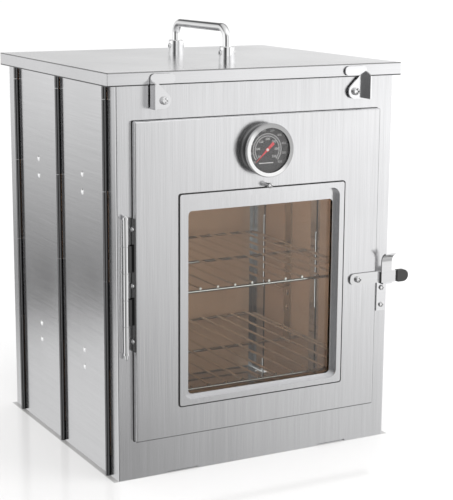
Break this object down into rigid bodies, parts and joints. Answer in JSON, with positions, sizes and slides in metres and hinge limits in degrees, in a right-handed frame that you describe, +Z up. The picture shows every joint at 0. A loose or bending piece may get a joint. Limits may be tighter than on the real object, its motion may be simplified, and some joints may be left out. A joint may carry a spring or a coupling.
{
  "type": "folding camp oven",
  "caption": "Folding stainless camp oven with a lift-off lid, hinged side leaves, a windowed front door with a latch and a dial thermometer, and wire racks.",
  "frame": {"origin": "centre of the floor plate's flat underside, on the ground", "axes": "+X to the right seen from the front, +Y to the back, +Z up; the door faces -Y"},
  "size_m": [0.3119, 0.2838, 0.4054],
  "materials": {
    "steel": "vertically brushed stainless sheet",
    "lid_steel": "satin stainless sheet",
    "bright_steel": "bright stainless",
    "chrome": "polished",
    "grip_black": "matt",
    "gasket_grey": "matt heatproof seal",
    "oven_glass": "clear",
    "gauge_glass": "clear",
    "case_black": "satin black",
    "dial_grey": "matt print",
    "needle_red": "matt"
  },
  "bodies": {
    "front_frame": {"front_wall": "steel", "front_corner_pins": "bright_steel", "floor_plate": "steel", "lid_latch_screws": "bright_steel", "lid_latch_spacers": "bright_steel", "lid_latch_nuts": "bright_steel", "door_hinge_body_leaf": "bright_steel", "door_hinge_pin": "bright_steel", "door_strike_plate": "bright_steel", "door_strike_screws": "bright_steel"},
    "left_front_side": {"left_front_leaf": "steel", "left_front_rack_support": "steel", "left_front_rivets": "bright_steel", "left_fold_pin": "bright_steel"},
    "left_rear_side": {"left_rear_leaf": "steel", "left_rear_rack_support": "steel", "left_rear_rivets": "bright_steel"},
    "back_frame": {"back_wall": "steel", "rear_corner_pins": "bright_steel"},
    "right_rear_side": {"right_rear_leaf": "steel", "right_rear_rack_support": "steel", "right_rear_rivets": "bright_steel", "right_fold_pin": "bright_steel"},
    "right_front_side": {"right_front_leaf": "steel", "right_front_rack_support": "steel", "right_front_rivets": "bright_steel"},
    "upper_rack_body": {"upper_rack": "chrome"},
    "lower_rack_body": {"lower_rack": "chrome"},
    "lid": {"lid_top_sheet": "lid_steel", "lid_skirts": "lid_steel", "lid_handle_bar": "chrome", "lid_handle_collars": "chrome", "lid_handle_base_rings": "chrome", "lid_handle_set_screws": "bright_steel", "lid_handle_screws": "bright_steel"},
    "left_lid_latch": {"lid_latch_left": "bright_steel"},
    "right_lid_latch": {"lid_latch_right": "bright_steel"},
    "door": {"door_panel": "steel", "door_hinge_door_leaf": "bright_steel", "door_hinge_screws": "bright_steel", "window_frame": "steel", "window_gasket": "gasket_grey", "window_glass": "oven_glass", "window_clamp_frame": "steel", "window_clamp_nuts": "bright_steel", "window_top_screw": "bright_steel", "window_top_nut": "bright_steel", "thermometer_case": "case_black", "thermometer_bezel": "chrome", "thermometer_lens": "gauge_glass", "thermometer_dial": "dial_grey", "thermometer_stem": "bright_steel", "thermometer_nut": "bright_steel", "door_latch_washer": "bright_steel", "door_latch_screw": "bright_steel", "door_latch_nut": "bright_steel"},
    "door_latch": {"door_latch_lever": "bright_steel", "door_latch_grip": "grip_black"},
    "needle": {"thermometer_needle": "needle_red"}
  },
  "joints": [
    {"name": "left_front_fold", "type": "hinge", "parent": "front_frame", "child": "left_front_side", "pos_m": [-0.1457, -0.112, 0.18], "axis": [0, 0, -1], "range_deg": [0, 3]},
    {"name": "left_rear_fold", "type": "hinge", "parent": "left_front_side", "child": "left_rear_side", "pos_m": [-0.1457, -0.0025, 0.18], "axis": [0, 0, 1], "range_deg": [0, 6.5]},
    {"name": "back_fold", "type": "hinge", "parent": "left_rear_side", "child": "back_frame", "pos_m": [-0.1457, 0.107, 0.18], "axis": [0, 0, -1], "range_deg": [0, 3.5]},
    {"name": "right_rear_fold", "type": "hinge", "parent": "back_frame", "child": "right_rear_side", "pos_m": [0.1457, 0.107, 0.18], "axis": [0, 0, -1], "range_deg": [0, 3.5]},
    {"name": "right_front_fold", "type": "hinge", "parent": "right_rear_side", "child": "right_front_side", "pos_m": [0.1457, -0.0025, 0.18], "axis": [0, 0, 1], "range_deg": [0, 6.5]},
    {"name": "door_swing", "type": "hinge", "parent": "front_frame", "child": "door", "pos_m": [-0.1375, -0.1364, 0.182], "axis": [0, 0, -1], "range_deg": [0, 170]},
    {"name": "door_latch_lift", "type": "hinge", "parent": "door", "child": "door_latch", "pos_m": [0.104, -0.14, 0.1645], "axis": [0, -1, 0], "range_deg": [0, 80]},
    {"name": "thermometer_needle_turn", "type": "hinge", "parent": "door", "child": "needle", "pos_m": [0, -0.145, 0.2966], "axis": [0, 1, 0], "range_deg": [0, 270]},
    {"name": "lid_lift", "type": "slide", "parent": "front_frame", "child": "lid", "axis": [0, 0, 1], "range_m": [0, 0.2]},
    {"name": "right_lid_latch_turn", "type": "hinge", "parent": "front_frame", "child": "right_lid_latch", "pos_m": [0.0995, -0.1349, 0.3445], "axis": [0, 1, 0], "range_deg": [0, 80]},
    {"name": "left_lid_latch_turn", "type": "hinge", "parent": "front_frame", "child": "left_lid_latch", "pos_m": [-0.0995, -0.1349, 0.3445], "axis": [0, -1, 0], "range_deg": [0, 80]},
    {"name": "upper_rack_slide", "type": "slide", "parent": "front_frame", "child": "upper_rack_body", "axis": [0, -1, 0], "range_m": [0, 0.012]},
    {"name": "lower_rack_slide", "type": "slide", "parent": "front_frame", "child": "lower_rack_body", "axis": [0, -1, 0], "range_m": [0, 0.012]}
  ],
  "couplings": [
    {"joint": "left_rear_fold", "follows": "left_front_fold", "ratio": 2},
    {"joint": "back_fold", "follows": "left_front_fold", "ratio": 1},
    {"joint": "right_rear_fold", "follows": "left_front_fold", "ratio": 1},
    {"joint": "right_front_fold", "follows": "left_front_fold", "ratio": 2}
  ]
}
